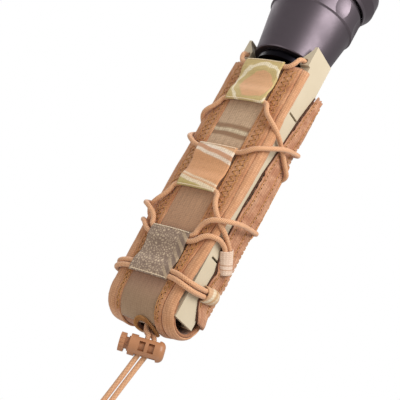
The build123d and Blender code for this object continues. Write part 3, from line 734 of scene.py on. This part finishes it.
band_stitches, needle_hole_shade = [], []
for side, node_name in ((1, "edge_band_right"), (-1, "edge_band_left")):
    top, end = FABRIC_TOP - 4.5, back_v(40)
    flat_place = banded(side, lambda v: BAND_INNER, crease, BAND_WIDE)
    roll_place = banded(side, lambda v: crease(v) + 0.5, band_edge, BINDING_WIDE)
    rows = steps(top, end, 1.5)
    flat = add_sheet(f"{node_name}_webbing", steps(0, BAND_WIDE, 0.8), rows, BAND_T, coyote_webbing,
                     [node_name], lift=0.1, place=flat_place, rough=0.4)
    cut_drain(flat)

    def rolled(u, v):
        """Thickness of the folded binding, fullest along its middle."""
        return 0.9 + 0.9 * math.sqrt(max(0.0, math.sin(math.pi * min(1.0, max(0.0, u / BINDING_WIDE)))))

    add_sheet(f"{node_name}_binding", steps(0, BINDING_WIDE, 0.6), rows, rolled, coyote_binding, lift=0.1,
              place=roll_place, rough=0.3)
    skin = BAND_T + 0.1
    band_stitches += zigzag(flat_place, 5.2, top - 3, 1.0, skin)
    band_stitches += zigzag(flat_place, 8.6, top - 3, FOLD_R + 4, skin, half=0.8, pitch=2.6)
    band_stitches += straight_row(flat_place, (1.2, top - 3), (1.2, 2.0), skin)
    for i, v in enumerate(steps(top - 3, 4.0, 1.9)):
        u = 5.2 + 1.9 * (-1) ** i + noise.noise(Vector((v, side, 0.5))) * 0.5
        # Painted shade: a short dark brown mark in each needle hole beside the zigzag.
        needle_hole_shade.append([flat_place(u, v - 0.4, skin + 0.02), flat_place(u, v + 0.4, skin + 0.02)])
sew("band_stitching", band_stitches, 0.24, "pouch")
sew("needle_hole_shade", needle_hole_shade, 0.26, "pouch", painted_shade_brown)


# ------------------------------------------------------------------ back edges
EDGE_X, EDGE_R, EDGE_CORNER, EDGE_IN = 27.65, 2.8, 13.4, 5.0
# Height, and how far forward over the channel's side the edge folds.
EDGE_FRONT = ((15.0, 7.0), (26.0, -0.5), (46.0, 1.0), (62.0, -5.0), (90.0, -5.0), (115.0, -3.5), (141.0, 0.5),
              (163.0, 3.0), (185.0, 7.8))
EDGE_WIDE = 24.0
EDGE_ROWS, EDGE_PITCH, EDGE_STITCH = (2.2, 11.5, 17.0), 3.1, 2.6    # three rows of long stitches
PRESSED = ((24.0, 39.0), (54.0, 86.0), (121.0, 147.0))     # heights where the lacing presses it flat


def free_of_lacing(z):
    """0 where the lacing presses, 1 well away from it."""
    gap = min(max(low - z, z - high) for low, high in PRESSED)
    return smoothstep(0.0, 7.0, gap)


def edge_place(side):
    """Placing function of a back edge: along the channel's side, round its corner, then inwards."""
    def place(u, z, lift):
        front = between(EDGE_FRONT, z)
        run, arc = EDGE_CORNER - front, EDGE_R * math.pi / 2
        reach = u * (run + arc + EDGE_IN) / EDGE_WIDE
        turn = min(max(reach - run, 0.0), arc) / EDGE_R
        rest = max(0.0, reach - run - arc)
        lift += noise.noise(Vector((u * 0.35, z * 0.22, side))) * 0.5 * free_of_lacing(z)
        x = EDGE_X - EDGE_R * (1 - math.cos(turn)) - rest + math.cos(turn) * lift
        y = front + min(reach, run) + EDGE_R * math.sin(turn) + math.sin(turn) * lift
        return at(side * x, y, z)
    return place


def edge_lift(u, z):
    """The front edge curls off the channel; behind the channel the padding swells inwards."""
    return 1.3 * math.exp(-max(u, 0.0) / 2.5) * free_of_lacing(z) - 1.5 * smoothstep(13.0, 18.0, u)


def edge_thick(u, z):
    swell = math.sqrt(max(0.0, math.sin(math.pi * min(1.0, max(0.0, u / EDGE_WIDE)))))
    return 0.6 + 0.9 * swell * free_of_lacing(z) + 1.6 * smoothstep(13.0, 18.0, u)


edge_stitches, edge_needle_hole_shade, edge_shadow_line = [], [], []
for side, node_name in ((1, "back_edge_right"), (-1, "back_edge_left")):
    place = edge_place(side)

    def ragged(u, z, lift, place=place):
        """The same, its front edge and its top torn a little."""
        wander = noise.noise(Vector((z * 0.6, 2.0, 4.0))) * 1.2 if u < 0.9 else 0.0
        rise = noise.noise(Vector((u * 0.7, 6.0, 1.0))) * 2.4 if z > BACK_TOP - 3 else 0.0
        return place(u + wander, z + rise, lift)

    mesh = strip_mesh(f"{node_name}_padding", ragged, steps(0, EDGE_WIDE, 0.8), steps(BACK_TOP, 15.0, 1.6),
                      edge_thick, coyote_felt, edge_lift)
    edge = link(f"{node_name}_padding", mesh, "pouch", node_name)
    # Painted shadow: a thick dark brown thread along the front edge, where the gap under the edge lies in
    # shade.
    edge_shadow_line.append([place(-0.5, z, 0.35) for z in steps(BACK_TOP - 2, 16.0, 2.0)])
    for u in EDGE_ROWS:
        for a in steps(BACK_TOP - 4, 26.0, EDGE_PITCH):
            b = a - EDGE_STITCH
            skin = edge_lift(u, a) + edge_thick(u, a)
            edge_stitches.append(stitch_between(place, (u, a), (u, b), skin))
            # Painted shade: a short dark brown mark in the needle hole beside each stitch.
            edge_needle_hole_shade.append([place(u + 1.0, a, skin + 0.02), place(u + 1.0, a - 0.9, skin + 0.02)])
sew("back_edge_stitching", edge_stitches, 0.26, "pouch")
sew("back_edge_needle_hole_shade", edge_needle_hole_shade, 0.28, "pouch", painted_shade_brown)
sew("back_edge_painted_shadow_line", edge_shadow_line, 0.5, "pouch", painted_shade_brown)


# ------------------------------------------------------------------ cord tunnels
TUNNEL_HALF, TUNNEL_REACH = 14.2, 16.2
TUNNEL_FINISH = {"top": print_khaki, "middle": print_tan, "bottom": print_bark}
hem_stitches = []
for name, z_mid in TUNNELS.items():
    def tunnel_lift(u, v, z_mid=z_mid):
        """Raised over the two cords near its upper and lower edges, sewn down a little between."""
        from_middle = abs(v - z_mid)
        over_cord = smoothstep(2.0, 9.5, from_middle)
        droop = 0.5 * smoothstep(13.5, 16.2, from_middle)
        return STRIP_T + 1.6 + 1.9 * over_cord - droop

    mesh = strip_mesh(f"cord_tunnel_{name}_webbing", fabric, steps(-TUNNEL_HALF, TUNNEL_HALF, 0.9),
                      steps(z_mid + TUNNEL_REACH, z_mid - TUNNEL_REACH, 0.75), 1.0, TUNNEL_FINISH[name],
                      tunnel_lift)
    patch = link(f"cord_tunnel_{name}_webbing", mesh, "pouch", f"cord_tunnel_{name}")
    for v in (z_mid + 15.5, z_mid - 15.5):
        hem_stitches += straight_row(fabric, (-13.6, v), (13.6, v), tunnel_lift(0, v) + 0.98, 1.5, 0.3)
cream_thread = moulded("bonded_thread_cream", "#f0dcc0", "#dcc4a2", 0.5, grain_mm=0.3, strength=0.4)
sew("tunnel_hems", hem_stitches, 0.24, "pouch", cream_thread)


# ------------------------------------------------------------------ drain eyelet
def on_sling(x, y, lift):
    return fabric(x, FOLD_R - FOLD_R * math.acos(max(-1.0, min(1.0, -y / FOLD_R))), lift)


def drain_eyelet():
    """A ring that follows the curve of the cloth, a dark brown band of painted shade inside the hole, and
    close radial stitches.
    """
    cx, cy, radius = DRAIN
    facets = 72

    def ring(u, v, lift):
        turn = 2 * math.pi * v / facets
        return on_sling(cx + (radius + u) * math.cos(turn), cy + (radius + u) * math.sin(turn), lift)

    mesh = strip_mesh("drain_eyelet", ring, steps(-0.7, 1.3, 0.5), list(range(facets + 1)), 0.3,
                      coyote_webbing, lambda u, v: BAND_T)
    link("drain_eyelet", mesh, "pouch", "drain_grommet")
    # Painted shade: the inside of the hole, drawn as a dark brown band through the cloth.
    drain_shade = strip_mesh("drain_hole_painted_shade", ring, steps(-0.5, 0.1, 0.3), list(range(facets + 1)),
                       CLOTH_T + BAND_T + 0.2, painted_shade_brown, lambda u, v: -CLOTH_T - 0.1)
    link("drain_hole_painted_shade", drain_shade, "pouch")
    over, count = ((-0.8, -0.2), (-0.5, 0.75), (1.2, 0.75), (1.7, -0.1)), 60
    radial = [[ring(u, v * facets / count, BAND_T + h) for u, h in over] for v in range(count)]
    sew("drain_eyelet_stitching", radial, 0.24, "pouch")


drain_eyelet()


# ------------------------------------------------------------------ tapes on the back
def tape(name, route, across, half, thick, material, nodes, spacing=1.0):
    """Flat tape along a smooth route (mm points), its width along the unit vector ACROSS."""
    line = spline_points([at(*p) for p in route], spacing * MM)
    across = Vector(across)

    def place(u, v, lift):
        i = min(len(line) - 1, max(0, round(v / spacing)))
        tangent = (line[min(i + 1, len(line) - 1)] - line[max(i - 1, 0)]).normalized()
        normal = tangent.cross(across).normalized()
        return line[i] + across * (u * MM) + normal * (lift * MM)

    along = [i * spacing for i in range(len(line))]
    mesh = strip_mesh(name, place, steps(-half, half, 1.2), along, thick, material)
    made = link(name, mesh, "pouch", *nodes)
    return made, place, along[-1]


SPINE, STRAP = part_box("back_spine"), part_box("belt_strap")
SPINE_Y0, SPINE_Y1 = ((c[1] - AXIS_Y) / MM for c in SPINE)
STRAP_Y1 = (STRAP[1][1] - AXIS_Y) / MM
STRAP_LOW, STRAP_HIGH = ((c[2] - FLOOR_Z) / MM for c in STRAP)
SPINE_LOW, SPINE_HIGH = ((c[2] - FLOOR_Z) / MM for c in SPINE)
HALF = SPINE[1][0] / MM


def flat_back(depth):
    return lambda u, v, lift: at(u, depth + lift, v)


back_rows = []
mesh = strip_mesh("back_spine_webbing", flat_back(SPINE_Y0), steps(-HALF, HALF, 1.2),
                  steps(SPINE_LOW, SPINE_HIGH, 2.0), SPINE_Y1 - SPINE_Y0, coyote_webbing)
link("back_spine_webbing", mesh, "pouch", "back_spine")
spine_face = flat_back(SPINE_Y1)
for u in (-HALF + 2, HALF - 2):
    back_rows += straight_row(spine_face, (u, SPINE_LOW + 3), (u, SPINE_HIGH - 3), 0.0)
for low, high in ((SPINE_LOW + 3, SPINE_LOW + 22), (SPINE_HIGH - 22, SPINE_HIGH - 3)):
    for start, end in (((-15, low), (15, high)), ((-15, high), (15, low)), ((-15, low), (15, low)),
                       ((-15, high), (15, high))):
        back_rows += straight_row(spine_face, start, end, 0.0)
strap_route = [(0, SPINE_Y1 + 0.1, STRAP_HIGH - 9), (0, SPINE_Y1 + 0.1, STRAP_HIGH - 1.2),
               (0, SPINE_Y1 + 3.0, STRAP_HIGH - 0.9), (0, STRAP_Y1 - 2.2, STRAP_HIGH - 1.4),
               (0, STRAP_Y1 - 2.2, STRAP_HIGH - 8), (0, STRAP_Y1 - 2.2, STRAP_LOW + 8),
               (0, STRAP_Y1 - 2.2, STRAP_LOW + 2.0), (0, SPINE_Y1 + 3.0, STRAP_LOW + 0.6),
               (0, SPINE_Y1 + 0.3, STRAP_LOW - 2.0), (0, SPINE_Y1 + 0.3, STRAP_LOW - 9),
               (0, SPINE_Y1 + 0.3, STRAP_LOW - 17)]
strap, strap_place, strap_long = tape("belt_strap_webbing", strap_route, (1, 0, 0), HALF, 2.0, coyote_webbing,
                                      ["belt_strap", "snap_tab"])
for u in (-HALF + 1.8, HALF - 1.8):
    back_rows += straight_row(strap_place, (u, 12), (u, strap_long - 3), 2.0)
sew("back_stitching", back_rows, 0.26, "pouch")


# ------------------------------------------------------------------ keepers on the back edges
# Each keeper: y, z, slant, half length, cloth.
KEEPERS = ((3.0, 55.4, 0.70, 7.4, keeper_pink), (4.0, 32.3, 1.83, 5.6, keeper_tan))


def keeper_place(side, y, z, slant):
    """Placing function of an arch over the ends of two cords: U round it, V along them."""
    def place(u, v, lift):
        turn = u / 7.0 * math.pi / 2
        off = (4.3 + lift) * math.sin(turn)
        out = 28.35 + (4.1 + lift) * math.cos(turn)
        return at(side * out, y + v * math.sin(slant) + off * math.cos(slant),
                  z - v * math.cos(slant) + off * math.sin(slant))
    return place


KEEPER_TURN = 14.0                    # how much of the cord each keeper's cloth wraps, along its curve
for side, node_name, held_by in ((1, "edge_loops_right", "back_edge_right"),
                                 (-1, "edge_loops_left", "back_edge_left")):
    for i, (y, z, slant, half, cloth) in enumerate(KEEPERS):
        mesh = strip_mesh(f"{node_name}_{i}", keeper_place(side, y, z, slant),
                          steps(-KEEPER_TURN / 2, KEEPER_TURN / 2, 0.7), steps(-half, half, 0.8), 0.8, cloth)
        keeper = link(f"{node_name}_{i}", mesh, "pouch", *([node_name] if i == 0 else []))


# ------------------------------------------------------------------ lacing
EAR_X, EAR_Z = 23.0, 194.2
FRONT_Y = -19.95
END_X = HALF + 0.45
LANES = {
    "top_upper": [(17.0, FRONT_Y, 183.7), (21.0, -19.8, 187.0), (EAR_X, -18.4, EAR_Z),
                  (EAR_X, -9.4, EAR_Z + 0.4)],
    "top_lower": [(17.0, FRONT_Y, 157.5), (19.4, -20.1, 149.6), (26.6, -20.2, 143.6), (30.2, -14.0, 140.2),
                  (30.0, -3.0, 136.4), (30.4, 8.0, 130.0), (30.4, 18.4, 125.0), (END_X, 19.6, 123.0)],
    "middle_upper": [(17.0, FRONT_Y, 116.8), (25.6, -21.0, 122.0), (31.8, -15.0, 127.0), (34.2, -3.5, 135.0),
                     (32.6, 9.0, 139.8), (30.4, 18.4, 143.5), (END_X, 19.6, 145.0)],
    "middle_lower": [(17.0, FRONT_Y, 90.6), (18.4, -20.2, 81.6), (25.8, -20.4, 72.8), (30.2, -14.4, 67.8),
                     (30.0, -7.0, 65.4), (30.2, -0.8, 62.6), (30.4, 3.6, 57.4)],
    "bottom_upper": [(17.0, FRONT_Y, 55.3), (18.0, -20.8, 63.8), (25.0, -24.0, 68.6), (34.0, -18.2, 72.4),
                     (34.8, -6.0, 77.4), (32.4, 7.0, 81.0), (30.4, 18.4, 84.0), (END_X, 19.6, 85.0)],
    "bottom_second": [(17.0, FRONT_Y, 51.8), (24.6, -20.6, 59.6), (30.2, -15.6, 61.4), (30.1, -10.0, 61.8),
                      (30.2, -3.5, 60.2), (30.4, 0.9, 55.2)],
    "bottom_third": [(17.0, FRONT_Y, 32.6), (25.8, -20.2, 30.4), (30.2, -14.4, 30.0), (30.3, -4.5, 32.0),
                     (30.4, 5.0, 34.4)],
    "bottom_lower": [(17.0, FRONT_Y, 29.1), (25.8, -20.2, 26.8), (30.2, -14.4, 26.2), (30.3, -4.5, 28.2),
                     (30.4, 5.0, 30.8)],
}
lacing_lines = []
for route in LANES.values():
    left = [(-x, y, z) for x, y, z in reversed(route)]
    lacing_lines.append(spline_points([at(*p) for p in left + route], 0.9 * MM))
lacing = link("shock_cord_lacing", cord_mesh("shock_cord_lacing", lacing_lines, CORD_D, cord_braid, sides=20),
              "pouch", "lacing_cord")


# ------------------------------------------------------------------ tails and their knot
LOCK = Vector((14.2, -5.0, -12.4))
LOCK_AXIS = Vector((0.81, 0.55, 0.20)).normalized()
DOWN = Vector((-0.20, 0.0, -0.98)).normalized()
TAIL_GAP = 1.85                       # half the spacing of the two tails


def tail_route(side):
    """Control points of one tail: out of the drain, through the lock, down to the knot."""
    along = LOCK_AXIS * (side * TAIL_GAP)
    beside = Vector((0, side, 0))
    return [Vector((4.6, -3.0, 5.6)) + beside * 1.8, Vector((5.8, -3.3, -2.6)) + beside * 1.9,
            LOCK + DOWN * -7.2 + along + beside * 0.7, LOCK + DOWN * 22.0 + along,
            LOCK + DOWN * 50.0 + along * 1.5 + Vector((0, -0.8 * side, 0)), LOCK + DOWN * 78.0 + along * 1.1]


def knot_line():
    """A trefoil, the shape of an overhand knot pulled tight."""
    centre = LOCK + DOWN * 81.6
    size, count = 1.32, 90
    loop = []
    for i in range(count + 1):
        t = 2 * math.pi * i / count
        x, y = math.sin(t) + 2 * math.sin(2 * t), math.cos(t) - 2 * math.cos(2 * t)
        loop.append(at(*(centre + Vector((x * size, -math.sin(3 * t) * 1.7, y * size)))))
    return loop


knot = link("tail_knot_cord", cord_mesh("tail_knot_cord", [knot_line()], CORD_D, cord_braid), "pouch",
            "tail_knot")
for side, node_name in ((-1, "cord_tail_left"), (1, "cord_tail_right")):
    line = spline_points([at(*p) for p in tail_route(side)], 0.8 * MM)
    tail = link(f"{node_name}_cord", cord_mesh(f"{node_name}_cord", [line], CORD_D, cord_braid), "pouch",
                node_name)


# ------------------------------------------------------------------ floor
def pale_floor():
    """A plain floor well below the part, for views from above."""
    mesh = bpy.data.meshes.new("floor")
    size, z = 6.0, -1.4
    mesh.from_pydata([(-size, -size, z), (size, -size, z), (size, size, z), (-size, size, z)], [],
                     [(0, 1, 2, 3)])
    made = bpy.data.objects.new("floor", mesh)
    mesh.materials.append(new_material("painted_floor", Base_Color=linear("#f4f4f2"), Roughness=0.9)[0])
    bpy.context.collection.objects.link(made)


pale_floor()
